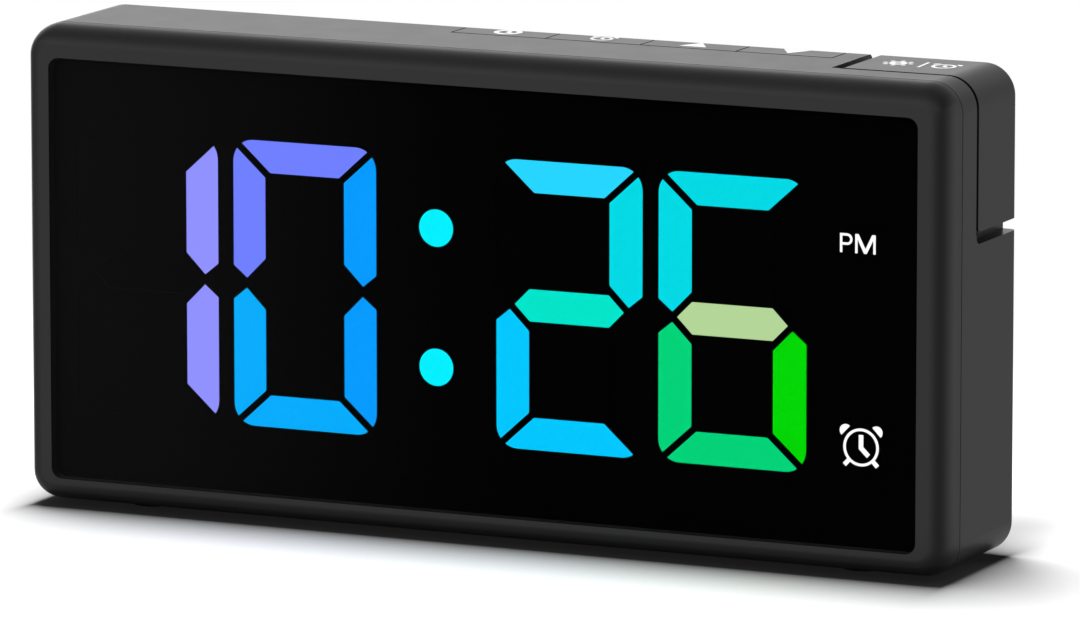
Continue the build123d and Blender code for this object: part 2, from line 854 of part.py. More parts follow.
def inlet_tongue():
    """Contact tongue in the middle of the receptacle."""
    near = main_board_back + inlet_base
    half = inlet_tongue_wide / 2
    return brick(inlet_x - half, inlet_x + half, near, near + inlet_tongue_length,
                 inlet_height_place - inlet_tongue_thick / 2, inlet_height_place + inlet_tongue_thick / 2)


# Back-up cell
def coin_cell():
    far = cap_inner_depth - cell_end_gap
    cell = rod(cell_x, cell_height_place, far - cell_thickness, far, cell_radius)
    return chamfer(cell.faces().sort_by(Axis.Y)[0].edges(), cell_edge)


def spring_contact():
    """Contact under the cell: a strip with a raised leaf, and a tail to the main board."""
    low = cell_height_place - contact_wide / 2
    high = cell_height_place + contact_wide / 2
    cell_near = cap_inner_depth - cell_end_gap - cell_thickness
    left = cell_x - bay_radius / 2
    strip = brick(left, main_board_left + contact_landing, bay_floor_depth,
                  bay_floor_depth + contact_thickness, low, high)
    rise = cell_near - contact_thickness
    leaf = brick(left, left + contact_thickness, bay_floor_depth, cell_near, low, high)
    return strip + leaf + brick(left, cell_x, rise, cell_near, low, high)


def rim_contact():
    """Contact that bears on the rim of the cell, and its tail to the main board."""
    low = cell_height_place + contact_offset - contact_wide / 2
    high = cell_height_place + contact_offset + contact_wide / 2
    reach = sqrt(cell_radius ** 2 - (contact_offset - contact_wide / 2) ** 2)
    left = cell_x + reach + cell_end_gap
    tail = brick(left, main_board_left + contact_landing, bay_floor_depth,
                 bay_floor_depth + contact_thickness, low, high)
    return tail + brick(left, left + contact_thickness, bay_floor_depth, bay_floor_depth + rim_contact_tall,
                        low, high)


def battery_cap():
    """Round cap with a coin slot: three lugs turn behind the rim of the bay."""
    cap = rod(cell_x, cell_height_place, cap_seat_depth, body_depth, cap_radius)
    cap = chamfer(cap.faces().sort_by(Axis.Y)[-1].edges(), cap_edge)
    cap += rod(cell_x, cell_height_place, cap_inner_depth, cap_seat_depth + fit_gap, cap_neck_radius)
    for index in range(lug_count):
        cap += wedge(lug_radius, cap_inner_depth, cap_inner_depth + lug_thickness,
                     lug_start_angle + index * full_turn / lug_count, lug_angle)
    slot = at(cell_x, cell_height_place, SlotOverall(coin_slot_long, coin_slot_wide))
    return cap - slab(slot, body_depth - coin_slot_deep, body_depth + overrun)


# Screws
def case_screw(x, z):
    """Pan-head screw: its head seats on the shoulder in the post, its shank ends in the front boss."""
    screw = rod(x, z, screw_reach, shoulder_depth + fit_gap, screw_radius)
    head_back = shoulder_depth + screw_head_height
    head = rod(x, z, shoulder_depth, head_back, screw_head_radius)
    head -= rod(x, z, head_back - screw_recess_depth, body_depth, screw_recess_radius)
    return screw + head


def board_screw(x, z):
    """Small screw from the front through the main board into its boss."""
    shank = rod(x, z, main_board_depth - fit_gap, main_board_depth + small_screw_reach, small_screw_radius)
    return shank + rod(x, z, main_board_depth - small_head_height, main_board_depth, small_head_radius)


def key_board_screw(x):
    """Small screw from below through the key board into its boss."""
    low = key_board_top - board_thickness
    shank = pillar(x, key_boss_depth, low - fit_gap, low + small_screw_reach, small_screw_radius)
    return shank + pillar(x, key_boss_depth, low - small_head_height, low, small_head_radius)


# Every piece of the clock under its own name
pieces = {
    "front_frame": front_frame(),
    "rear_housing": rear_housing(),
    "display_window": display_window(),
    "display_mask": display_mask(),
    "reflector_block": reflector_block(),
    "colon_lenses": lenses(colon_outlines()),
    "afternoon_lens": lenses([indicator_outline(1)]),
    "alarm_lens": lenses([indicator_outline(-1)]),
    "led_chips": led_chips(),
    "display_board": display_board(),
    "main_board": main_board(),
    "controller_chip": controller_chip(),
    "header_socket": header_socket(),
    "header_strip": header_strip(),
    "buzzer": buzzer(),
    "inlet_shell": inlet_shell(),
    "inlet_tongue": inlet_tongue(),
    "coin_cell": coin_cell(),
    "spring_contact": spring_contact(),
    "rim_contact": rim_contact(),
    "battery_cap": battery_cap(),
    "snooze_bar": snooze_bar(),
    "key_board": key_board(),
    "case_screws": Compound([case_screw(x, z) for x, z in post_places]),
    "main_board_screws": Compound([board_screw(x, z) for x, z in main_boss_places]),
    "key_board_screws": Compound([key_board_screw(x) for x in key_boss_x]),
}
for name, x in zip(("hour_tens", "hour_units", "minute_tens", "minute_units"), digit_places):
    pieces[name + "_lenses"] = lenses(digit_outlines(x))
for number, (x, z) in enumerate(capacitor_places, 1):
    pieces[f"capacitor_{number}"] = capacitor(x, z)
for number, (x, y) in enumerate(feet_xy(), 1):
    pieces[f"foot_{number}"] = foot(x, y)
for index, name in enumerate(("time", "alarm", "up", "down")):
    pieces[name + "_key"] = key(index)
for name, x in zip(("time", "alarm", "up", "down", "snooze"), switch_places()):
    pieces[name + "_switch"] = switch(x)
    pieces[name + "_plunger"] = plunger(x)

os.makedirs("parts", exist_ok=True)
for name, piece in pieces.items():
    export_step(piece, f"parts/{name}.step")
print(len(pieces), "pieces written")
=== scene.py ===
# %% [markdown]
# A slim desk clock, dressed for its portrait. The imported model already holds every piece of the
# clock at its real size: case, window, lenses, keys, snooze bar, cell cap and all that is inside.
# What is left to do here is what an eye adds to a shape: the finish of each surface, the light in
# the digits, the white signs, and a pale studio around it all. Everything is in metres, with X to
# the right as one faces the clock, Y towards its back and Z up.

# %% Load the clock
from math import cos, pi, radians, sin

import bmesh
import bpy
from mathutils import Matrix, Vector


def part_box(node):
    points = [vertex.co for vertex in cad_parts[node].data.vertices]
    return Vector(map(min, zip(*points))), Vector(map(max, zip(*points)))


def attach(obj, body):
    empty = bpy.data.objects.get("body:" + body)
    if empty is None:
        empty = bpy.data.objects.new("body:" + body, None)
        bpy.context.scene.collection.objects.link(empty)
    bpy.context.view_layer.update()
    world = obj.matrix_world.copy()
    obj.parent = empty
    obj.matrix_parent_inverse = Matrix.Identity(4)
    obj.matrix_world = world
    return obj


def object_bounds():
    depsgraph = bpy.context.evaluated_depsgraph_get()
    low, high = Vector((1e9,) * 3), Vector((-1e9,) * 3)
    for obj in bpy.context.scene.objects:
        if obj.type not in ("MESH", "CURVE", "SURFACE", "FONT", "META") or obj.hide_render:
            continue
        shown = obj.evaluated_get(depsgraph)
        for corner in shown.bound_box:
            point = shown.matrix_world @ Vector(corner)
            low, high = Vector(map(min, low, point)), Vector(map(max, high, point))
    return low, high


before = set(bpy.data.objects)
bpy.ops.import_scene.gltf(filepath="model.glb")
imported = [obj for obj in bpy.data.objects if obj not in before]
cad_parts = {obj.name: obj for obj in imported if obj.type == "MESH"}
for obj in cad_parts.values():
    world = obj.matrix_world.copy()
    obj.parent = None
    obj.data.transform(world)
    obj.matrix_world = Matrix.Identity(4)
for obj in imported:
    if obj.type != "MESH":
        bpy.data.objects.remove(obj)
cad_low, cad_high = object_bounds()
MM = 0.001
print("nodes:", len(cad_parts), "size in mm:", [round(side / MM, 2) for side in cad_high - cad_low])

# %% [markdown]
# Every later place is read from the frame, so nothing has to be fitted by eye. The front face of
# the case is where depths are counted from, and the underside of the case is where heights are
# counted from. The signs on the display lie between the back of the window and the front of the
# film behind it.

# %% Read the main places
frame_low, frame_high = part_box("front_frame")
window_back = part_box("display_window")[1].y
mask_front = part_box("display_mask")[0].y
case_bottom = frame_low.z
case_top = frame_high.z
half_width = frame_high.x
half_depth = (cad_high.y - cad_low.y) / 2
print("front face at", round(frame_low.y, 4), "case from", round(case_bottom, 4), "to", round(case_top, 4))

# %% [markdown]
# The camera stands a little to the right of the clock and a little above it, and far away, so that
# the case hardly narrows towards its back. A long lens from over a metre gives that calm look of a
# catalogue picture. The camera is turned by three angles about a point on the clock's front.

# %% Place the camera
turn_right = radians(24.93)
look_down = radians(10.012)
tilt = radians(-0.011)
distance = 1545.5 * MM
aim_across = 11.31 * MM
aim_height = 36.56 * MM
aim = Vector((aim_across, frame_low.y, case_bottom + aim_height))

away = Vector((sin(turn_right) * cos(look_down), -cos(turn_right) * cos(look_down), sin(look_down)))
level = Vector((cos(turn_right), sin(turn_right), 0))
upright = away.cross(level)
right = level * cos(tilt) + upright * sin(tilt)
up = upright * cos(tilt) - level * sin(tilt)
spot = aim + away * distance

camera_data = bpy.data.cameras.new("portrait_camera")
camera_data.sensor_width = 36.0
camera_data.lens = 329.8
camera_data.clip_end = 20.0
camera = bpy.data.objects.new("portrait_camera", camera_data)
camera.matrix_world = Matrix((
    (right.x, up.x, away.x, spot.x),
    (right.y, up.y, away.y, spot.y),
    (right.z, up.z, away.z, spot.z),
    (0, 0, 0, 1)))
bpy.context.scene.collection.objects.link(camera)
bpy.context.scene.camera = camera
bpy.context.scene.view_settings.view_transform = "Standard"
print("camera at", [round(c, 3) for c in spot])

# %% [markdown]
# Shader maths is easier to read as a sum than as boxes and lines. A wire stands for one output in
# a material's node tree. Adding or multiplying wires adds the Math nodes that work it out, so
# that 1 - mask means what it says. A finish is a material in the making: its node method adds any
# other node, with the settings first and then what goes into its sockets.

# %% Wires and finishes
class Wire:
    """One output of a node, or a sum worked out from several."""

    def __init__(self, finish, socket):
        self.finish = finish
        self.socket = socket

    def maths(self, operation, *others):
        return self.finish.maths(operation, self, *others)

    def __add__(self, other):
        return self.maths("ADD", other)

    __radd__ = __add__

    def __sub__(self, other):
        return self.maths("SUBTRACT", other)

    def __rsub__(self, other):
        return self.finish.maths("SUBTRACT", other, self)

    def __mul__(self, other):
        return self.maths("MULTIPLY", other)

    __rmul__ = __mul__

    def __truediv__(self, other):
        return self.maths("DIVIDE", other)

    def __lt__(self, other):
        return self.maths("LESS_THAN", other)

    def __gt__(self, other):
        return self.maths("GREATER_THAN", other)

    def __abs__(self):
        return self.maths("ABSOLUTE")

    def out(self, name):
        """Another output of the same node."""
        return Wire(self.finish, self.socket.node.outputs[name])


class Finish:
    """A node tree in the making, for a material or for the surroundings."""

    def __init__(self, tree):
        self.tree = tree
        tree.nodes.clear()

    def node(self, kind, settings=None, sockets=None):
        """A node with its settings made first and then its sockets filled; gives its first output."""
        made = self.tree.nodes.new(kind)
        for name, value in (settings or {}).items():
            if name == "stops":
                self.set_stops(made.color_ramp, value)
            else:
                setattr(made, name, value)
        for key, value in (sockets or {}).items():
            socket = made.inputs[key]
            if isinstance(value, Wire):
                self.tree.links.new(value.socket, socket)
            else:
                socket.default_value = value
        return Wire(self, made.outputs[0]) if made.outputs else None

    @staticmethod
    def set_stops(ramp, stops):
        while len(ramp.elements) < len(stops):
            ramp.elements.new(1.0)
        for element, (position, colour) in zip(ramp.elements, stops):
            element.position = position
            element.color = colour

    def maths(self, operation, *values):
        return self.node("ShaderNodeMath", {"operation": operation}, dict(enumerate(values)))

    def blend(self, factor, first, second):
        """A colour that goes from the first to the second with the factor."""
        settings = {"data_type": "RGBA", "clamp_factor": True}
        mixed = self.node("ShaderNodeMix", settings, {0: factor, 6: first, 7: second})
        return Wire(self, mixed.socket.node.outputs[2])

    def rise(self, value, start, end):
        """A smooth step from 0 at the start to 1 at the end."""
        return self.node("ShaderNodeMapRange", {"interpolation_type": "SMOOTHSTEP"},
                         {0: value, 1: start, 2: end, 3: 0.0, 4: 1.0})

    def beyond(self, value, edge):
        """How far a value lies outside plus or minus the edge, and 0 between the two."""
        return self.maths("MAXIMUM", abs(value) - edge, 0.0)

    def diagonal(self, first, second):
        """The length of the third side of a right-angled triangle."""
        return self.maths("SQRT", first * first + second * second)

    def place(self):
        """Where a point lies on its piece, in metres: X, Y and Z."""
        coordinates = self.node("ShaderNodeTexCoord").out("Object")
        split = self.node("ShaderNodeSeparateXYZ", None, {0: coordinates})
        return split, split.out("Y"), split.out("Z")

    def noise(self, size, detail=2.0, lift=0.0):
        """Cloudy noise whose lumps have about this size in metres."""
        coordinates = self.node("ShaderNodeTexCoord").out("Object")
        return self.node("ShaderNodeTexNoise", {"noise_dimensions": "4D"}, {
            "Vector": coordinates, "W": lift, "Scale": 1 / size, "Detail": detail, "Roughness": 0.5})

    def bump(self, height, depth):
        """A normal that follows a height; depth is its full relief in metres."""
        return self.node("ShaderNodeBump", None, {"Height": height, "Distance": depth, "Strength": 1.0})

    def surface(self, shader):
        self.node("ShaderNodeOutputMaterial", None, {"Surface": shader})


def new_finish(name):
    material = bpy.data.materials.new(name)
    material.use_nodes = True
    material.cycles.emission_sampling = "NONE"
    return material, Finish(material.node_tree)


def grey(level):
    return (level, level, level, 1.0)


print("shader helpers:", Wire.__name__, Finish.__name__)

# %% [markdown]
# The case is moulded from a nearly black plastic, and its mould was spark-eroded, which leaves a
# fine even grain. That grain is what spreads reflections into soft bands along the rounded
# edges. A bump from tiny noise gives the grain. Two wider noises change the roughness and the
# colour a little, because handled plastic is never quite even. The keys are of the same plastic,
# a shade darker and smoother from use.

# %% Moulded plastic
cloud_size = 18 * MM
wear_size = 6 * MM


def moulded_plastic(name, dark, light, smooth, rough, grain, relief, painted_shade=None):
    """Moulded plastic between two near colours and two roughnesses, with an eroded grain.

    Where the painted shade function gives 1, the surface is matt black, a painted shade.
    """
    material, finish = new_finish(name)
    clouds = finish.noise(cloud_size, detail=3.0)
    wear = finish.noise(wear_size, detail=4.0, lift=3.0)
    colour = finish.blend(clouds, dark, light)
    pits = finish.noise(grain, detail=2.0, lift=7.0)
    shader = finish.node("ShaderNodeBsdfPrincipled", None, {
        "Base Color": colour,
        "Roughness": smooth + (rough - smooth) * wear,
        "IOR": 1.46,
        "Normal": finish.bump(pits, relief)})
    if painted_shade:
        # painted shade: a matt black surface mixed in where the mask gives 1
        black = finish.node("ShaderNodeBsdfPrincipled", None, {
            "Base Color": finish.blend(wear, grey(0.001), grey(0.002)),
            "Roughness": 0.8,
            "Specular IOR Level": 0.1})
        shader = finish.node("ShaderNodeMixShader", None, {0: painted_shade(finish), 1: shader, 2: black})
    finish.surface(shader)
    return material


case_look = {"dark": (0.0095, 0.0095, 0.0098, 1), "light": (0.012, 0.012, 0.0123, 1),
             "smooth": 0.29, "rough": 0.35, "grain": 0.16 * MM, "relief": 0.003 * MM}
key_look = {"dark": (0.009, 0.009, 0.0093, 1), "light": (0.0115, 0.0115, 0.0118, 1),
            "smooth": 0.28, "rough": 0.34, "grain": 0.14 * MM, "relief": 0.0025 * MM}
case_plastic = moulded_plastic("case_plastic", **case_look)
key_plastic = moulded_plastic("key_plastic", **key_look)
print("plastics:", case_plastic.name, key_plastic.name)

# %% [markdown]
# The snooze bar is a loose piece in a trough of the housing. The gap in front of it looks wider than
# it is, since both its edges are broken by a small radius that hardly any light reaches. That shade
# is painted: the plastic is painted black and matt for a quarter of a millimetre on either side of
# the gap. A mask made of three comparisons says where the painted shade goes.

# %% Painted shade round the snooze bar
bar_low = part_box("snooze_bar")[0]
seam_gap = 0.35 * MM
seam_shade_band = 0.27 * MM


def seam_painted_shade(finish):
    """The strip of painted shade on both sides of the gap in front of the bar, where the bar is."""
    x, y, z = finish.place()
    middle = bar_low.y - seam_gap / 2
    strip = abs(y - middle) < seam_gap / 2 + seam_shade_band
    return strip * (x > bar_low.x - seam_gap) * (z > bar_low.z - seam_gap)


housing_plastic = moulded_plastic("housing_plastic", **case_look, painted_shade=seam_painted_shade)
bar_plastic = moulded_plastic("bar_plastic", **key_look, painted_shade=seam_painted_shade)
print("bar from", round(bar_low.x, 4), "down to", round(bar_low.z, 4))

# %% [markdown]
# Behind the clear acrylic window lies a black printed film, with cut-outs where the light comes
# through. The window itself is nearly invisible, apart from a faint reflection of the room. A
# low alpha keeps just that much of its gloss. A painted sheen makes its colour a little lighter
# towards the left, and because that painted sheen lies over film and lenses alike, the bars that
# are off stay hidden. The film is a matt ink with the small unevenness that screen printing leaves.

# %% Window and mask
window_gloss_share = 0.03
sheen_start = 0.15 * half_width
sheen_full = -0.9 * half_width
smear_size = 25 * MM
film_grain = 0.4 * MM
film_relief = 0.003 * MM
film_black = grey(0.0004)
film_grey = grey(0.0007)


def window_acrylic():
    material, finish = new_finish("window_acrylic")
    smear_and_sheen = finish.noise(smear_size, detail=3.0)
    x = finish.place()[0]
    painted_sheen = 1 - finish.rise(x, sheen_full, sheen_start)
    shader = finish.node("ShaderNodeBsdfPrincipled", None, {
        # painted sheen: the window's base colour rises towards grey 0.085 at the left, varied a little by
        # the smear noise
        "Base Color": finish.blend(painted_sheen * (0.9 + 0.2 * smear_and_sheen), grey(0.001), grey(0.085)),
        "Roughness": 0.03 + 0.05 * smear_and_sheen,
        "Alpha": window_gloss_share,
        "Specular IOR Level": 0.12,
        "IOR": 1.49})
    finish.surface(shader)
    return material


def mask_film():
    material, finish = new_finish("mask_film")
    ink = finish.noise(film_grain, detail=3.0)
    shader = finish.node("ShaderNodeBsdfPrincipled", None, {
        "Base Color": finish.blend(ink, film_black, film_grey),
        "Roughness": 0.6 + 0.15 * ink,
        "Specular IOR Level": 0.0,
        "Normal": finish.bump(ink, film_relief)})
    finish.surface(shader)
    return material


window_finish = window_acrylic()
mask_finish = mask_film()
print("window and mask:", window_finish.name, mask_finish.name)

# %% [markdown]
# Each bar of a digit is a milky lens over its own light-emitting chip, and every chip has its own
# colour, so the display runs through the rainbow from violet to green. The colours are written as
# a screen shows them, from 0 to 255, and turned into the linear ones that shaders use. Either face
# of the window takes its share of the light away, so the light is made stronger by as much.

# %% Colours of the light
def srgb(red, green, blue):
    """A screen colour from 0 to 255 as the linear colour that shaders use."""
    def linear(value):
        share = value / 255
        return share / 12.92 if share <= 0.04045 else ((share + 0.055) / 1.055) ** 2.4
    return (linear(red), linear(green), linear(blue), 1.0)


violet = srgb(144, 145, 254)
periwinkle = srgb(111, 127, 254)
azure = srgb(2, 155, 253)
sky = srgb(1, 172, 251)
bright_sky = srgb(2, 200, 253)
pale_sky = srgb(38, 213, 254)
cyan = srgb(2, 240, 254)
turquoise = srgb(2, 218, 228)
aqua = srgb(3, 229, 202)
sea_green = srgb(2, 211, 120)
leaf_green = srgb(2, 215, 3)
pale_lime = srgb(180, 214, 152)
off = grey(0.0)

digit_lights = {
    "hour_tens": {"upper_right": violet, "lower_right": violet},
    "hour_units": {"top": periwinkle, "upper_left": periwinkle, "upper_right": azure,
                   "lower_right": azure, "lower_left": sky, "bottom": sky},
    "minute_tens": {"top": pale_sky, "upper_right": turquoise, "middle": aqua,
                    "lower_left": bright_sky, "bottom": bright_sky},
    "minute_units": {"top": turquoise, "upper_left": turquoise, "middle": pale_lime,
                     "lower_left": sea_green, "lower_right": leaf_green, "bottom": sea_green},
}
light_level = 1.0 / (1 - window_gloss_share) ** 2
print("digits:", {name: len(lit) for name, lit in digit_lights.items()})

# %% [markdown]
# The seven lenses of a digit are one piece with one slot for its material. So one material per
# digit finds out which bar a point lies in, from its place about the middle of the digit. The
# slanting joints between the bars are straight lines, and a comparison of two distances tells the
# bars apart. Bars that are off have the black of the film, and so can't be seen in it.

# %% Lit lenses
bar_across = 5.73 * MM
bar_deep = 5.16 * MM
waist_inset = 2.4 * MM
resin_grain = 1.5 * MM


def lens_shader(finish, colour):
    """Milky resin that glows in a colour of its own."""
    haze = finish.noise(resin_grain, detail=2.0)
    return finish.node("ShaderNodeBsdfPrincipled", None, {
        "Base Color": finish.blend(haze, film_black, film_grey),
        "Roughness": 0.5 + 0.1 * haze,
        "Specular IOR Level": 0.0,
        "Emission Color": colour,
        "Emission Strength": light_level})


def digit_finish(name, lit):
    """The seven bars of one digit, each in the colour of its own chip or dark."""
    low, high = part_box(name + "_lenses")
    middle = (low + high) / 2
    half_across = (high.x - low.x) / 2
    half_tall = (high.z - low.z) / 2
    material, finish = new_finish(name + "_light")
    x, _, z = finish.place()
    across = x - middle.x
    height = z - middle.z
    from_side = half_across - abs(across)
    from_end = half_tall - abs(height)
    level_bar = (from_end / bar_deep) < (from_side / bar_across)
    cross_bar = (abs(height) < from_side - waist_inset) * (abs(height) < bar_deep)
    upper = height > 0
    right_hand = across > 0
    masks = {
        "top": upper, "bottom": 1 - upper,
        "upper_right": upper * right_hand, "lower_right": (1 - upper) * right_hand,
        "lower_left": (1 - upper) * (1 - right_hand), "upper_left": upper * (1 - right_hand)}
    colour = off
    for bar in ("upper_right", "lower_right", "lower_left", "upper_left"):
        colour = finish.blend(masks[bar], colour, lit.get(bar, off))
    for bar in ("top", "bottom"):
        colour = finish.blend(level_bar * masks[bar], colour, lit.get(bar, off))
    colour = finish.blend(cross_bar, colour, lit.get("middle", off))
    finish.surface(lens_shader(finish, colour))
    return material


def glow(name, colour):
    """A lens with the same light all over."""
    material, finish = new_finish(name)
    finish.surface(lens_shader(finish, colour))
    return material


digit_finishes = {name: digit_finish(name, lit) for name, lit in digit_lights.items()}
colon_light = glow("colon_light", cyan)
sign_light = glow("sign_light", grey(1.0))
lens_off = glow("lens_off", off)
print("lit finishes:", len(digit_finishes) + 2)

# %% [markdown]
# The afternoon sign and the alarm sign glow white at the right of the display. Their lines are
# under a millimetre wide, far finer than the lenses, because the real ones are left clear in the
# print of the film. Here they are thin plates that lie on the film. An outline in the plane of
# the sign is made solid, and a stroke is a line of given width.

# %% Outlines
def around(centre, radius, angle):
    """The point at this distance and angle, in degrees, from a centre."""
    return (centre[0] + radius * cos(radians(angle)), centre[1] + radius * sin(radians(angle)))


def arc(centre, radius, start, end, steps):
    """Points on a part of a circle, from one angle to another."""
    return [around(centre, radius, start + (end - start) * step / steps) for step in range(steps + 1)]


def stroke(points, width):
    """Outline of an open line of given width, with mitred corners."""
    sides = ([], [])
    for index, point in enumerate(points):
        here = Vector(point)
        before = Vector(points[index - 1]) if index else None
        after = Vector(points[index + 1]) if index + 1 < len(points) else None
        into = (here - before).normalized() if before is not None else (after - here).normalized()
        onto = (after - here).normalized() if after is not None else into
        along = (into + onto).normalized()
        normal = Vector((-along.y, along.x))
        reach = width / 2 / max(along.dot(into), 0.3)
        sides[0].append(tuple(here + normal * reach))
        sides[1].append(tuple(here - normal * reach))
    return sides[0] + sides[1][::-1]


print("points on a half circle:", len(arc((0, 0), 1, 0, 180, 16)))

# %% Flat signs
class Sign:
    """A flat sign in the making: solid plates on one plane."""

    def __init__(self, origin, across, upward, out, thickness):
        self.mesh = bmesh.new()
        self.origin = Vector(origin)
        self.across = Vector(across)
        self.upward = Vector(upward)
        self.out = Vector(out)
        self.thickness = thickness

    def point(self, place, lift):
        spot = self.origin + self.across * place[0] * MM + self.upward * place[1] * MM
        return self.mesh.verts.new(spot + self.out * lift)

    def plate(self, outline):
        """A solid plate from an outline in millimetres."""
        back = [self.point(place, 0) for place in outline]
        front = [self.point(place, self.thickness) for place in outline]
        self.mesh.faces.new(back[::-1])
        self.mesh.faces.new(front)
        count = len(outline)
        for index in range(count):
            after = (index + 1) % count
            self.mesh.faces.new((back[index], back[after], front[after], front[index]))

    def ring(self, centre, outer, inner, steps=48):
        """A closed band between two radii."""
        loops = []
        for radius in (outer, inner):
            places = arc(centre, radius, 0.0, 360.0, steps)[:-1]
            loops.append([self.point(place, 0) for place in places])
            loops.append([self.point(place, self.thickness) for place in places])
        outer_back, outer_front, inner_back, inner_front = loops
        for index in range(steps):
            after = (index + 1) % steps
            for a, b in ((outer_front, inner_front), (outer_back, outer_front),
                         (inner_back, outer_back), (inner_front, inner_back)):
                self.mesh.faces.new((a[index], a[after], b[after], b[index]))

    def finish(self, name, material, body, slot):
        """Close the sign: it becomes a piece that rides on its body."""
        bmesh.ops.recalc_face_normals(self.mesh, faces=self.mesh.faces)
        bmesh.ops.triangulate(self.mesh, faces=[face for face in self.mesh.faces if len(face.verts) > 4])
        data = bpy.data.meshes.new(name)
        self.mesh.to_mesh(data)
        self.mesh.free()
        data.materials.append(material)
        piece = bpy.data.objects.new(name, data)
        bpy.context.scene.collection.objects.link(piece)
        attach(piece, body)
        print(name, "faces:", len(data.polygons))


sign_thickness = 0.07 * MM
sign_plane = (window_back + mask_front) / 2 + sign_thickness / 2


def display_sign(x, height):
    """A sign on the film, drawn from a point at this place and height above the underside, in mm."""
    origin = (x * MM, sign_plane, case_bottom + height * MM)
    return Sign(origin, (1, 0, 0), (0, 0, 1), (0, -1, 0), sign_thickness)


print("signs on the film at", round(sign_plane, 5))

# %% [markdown]
# The afternoon sign is the two letters P and M, drawn from the lower left corner of the P. A
# straight plate is the stem of the P, and a stroke round a half circle is its bowl. The M is one
# outline, and its right half is the mirror image of its left half. All sizes of signs are in
# millimetres.

# %% Afternoon sign
letter_tall = 3.0
line_width = 0.38
bowl_high = letter_tall - line_width / 2
bowl_low = 1.38
bowl_radius = (bowl_high - bowl_low) / 2
bowl_x = 1.18
sign = display_sign(x=61.45, height=50.25)
sign.plate([(0, 0), (line_width, 0), (line_width, letter_tall), (0, letter_tall)])
sign.plate(stroke([(line_width, bowl_high)]
                  + arc((bowl_x, bowl_low + bowl_radius), bowl_radius, 90, -90, 14)
                  + [(line_width, bowl_low)], line_width))
m_left = 2.55
m_wide = 3.4
shoulder = 0.56
valley = 0.72
toe = 0.22
steepness = (letter_tall - valley) / (m_wide / 2 - shoulder)
inner_top = steepness * (m_wide / 2 - toe - line_width)
half_m = [(0, 0), (0, letter_tall), (shoulder, letter_tall), (m_wide / 2, valley)]
inner_m = [(m_wide / 2 - toe, 0), (line_width, inner_top), (line_width, 0)]
m_outline = half_m + [(m_wide - x, z) for x, z in half_m[-2::-1]]
m_outline += [(m_wide - x, z) for x, z in inner_m[::-1]] + inner_m
sign.plate([(m_left + x, z) for x, z in m_outline])
sign.finish("afternoon_sign", sign_light, "case", "lens_resin")

# %% [markdown]
# The alarm sign is a clock with two bells and two feet, drawn about the middle of its ring. A bell
# is a half disc whose flat side faces the ring, and a foot is a short stroke that starts in the
# middle of the ring's line. The hands are one stroke with a bend.

# %% Alarm sign
bell_lean = 46
foot_lean = 44
ring_radius = 2.98
ring_line = 0.42
bell_radius = 1.0
bell_away = 3.6
foot_near = ring_radius - ring_line / 2
foot_far = 4.0
foot_line = 0.7
hands = [(0, 1.95), (0, -0.1), (1.25, -1.3)]
hand_line = 0.75


def bell(sign, centre, away, radius, side, steps):
    """A half disc on one side of the top of a clock."""
    lean = 90 - side * bell_lean
    sign.plate(arc(around(centre, away, lean), radius, lean - 90, lean + 90, steps))


sign = display_sign(x=65.15, height=19.9)
sign.ring((0, 0), ring_radius, ring_radius - ring_line)
for side in (-1, 1):
    bell(sign, (0, 0), bell_away, bell_radius, side, 16)
    foot_angle = -90 + side * foot_lean
    foot = [around((0, 0), foot_near, foot_angle), around((0, 0), foot_far, foot_angle)]
    sign.plate(stroke(foot, foot_line))
sign.plate(stroke(hands, hand_line))
sign.finish("alarm_sign", sign_light, "case", "lens_resin")

# %% [markdown]
# The keys and the snooze bar carry small white signs, pad-printed on their tops. The ink is only
# a few hundredths of a millimetre thick, but it is a piece of its own, so its edge stays sharp
# from any side. A clock and a clock with bells stand for the two settings, and arrows for up and
# down.

# %% White ink
ink_thickness = 0.02 * MM
ink_grain = 0.25 * MM
ink_relief = 0.004 * MM


def printed_white():
    material, finish = new_finish("printed_white")
    ink = finish.noise(ink_grain, detail=3.0)
    shader = finish.node("ShaderNodeBsdfPrincipled", None, {
        "Base Color": finish.blend(ink, grey(0.82), grey(0.9)),
        "Roughness": 0.45 + 0.15 * ink,
        "Normal": finish.bump(ink, ink_relief)})
    finish.surface(shader)
    return material


def printed_sign(x, depth):
    """A sign on the top of the case, drawn from a point at this depth in mm from the front face."""
    origin = (x, frame_low.y + depth * MM, case_top)
    return Sign(origin, (1, 0, 0), (0, 1, 0), (0, 0, 1), ink_thickness)


def key_middle(name):
    low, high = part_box(name)
    return (low.x + high.x) / 2


white_ink = printed_white()
print("ink:", white_ink.name, round(ink_thickness / MM, 3), "mm thick")

# %% Signs on the keys
key_sign_depth = 25.0
time_radius = 2.3
time_line = 0.8
time_hands = [(0, 1.2), (0, -0.15), (0.9, -0.7)]
time_hand_line = 0.65
alarm_middle = (0, -0.2)
alarm_radius = 1.85
alarm_line = 0.5
arrow_half = 2.3
arrow_foot = 1.8
arrow_tip = 2.1
bell_away_share = 1.2
bell_radius_share = 0.36
hand_shares = ((0, 0.5), (0, -0.05), (0.4, -0.3))
hand_line_share = 0.9


def alarm_clock(sign, centre, radius, line):
    """A clock with two bells, drawn about a point."""
    sign.ring(centre, radius, radius - line)
    for side in (-1, 1):
        bell(sign, centre, radius * bell_away_share, radius * bell_radius_share, side, 12)
    bend = [(centre[0] + radius * over, centre[1] + radius * up) for over, up in hand_shares]
    sign.plate(stroke(bend, line * hand_line_share))


sign = printed_sign(key_middle("time_key"), key_sign_depth)
sign.ring((0, 0), time_radius, time_radius - time_line)
sign.plate(stroke(time_hands, time_hand_line))
sign.finish("time_sign", white_ink, "time_button", "key_plastic")

sign = printed_sign(key_middle("alarm_key"), key_sign_depth)
alarm_clock(sign, alarm_middle, alarm_radius, alarm_line)
sign.finish("alarm_key_sign", white_ink, "alarm_button", "key_plastic")

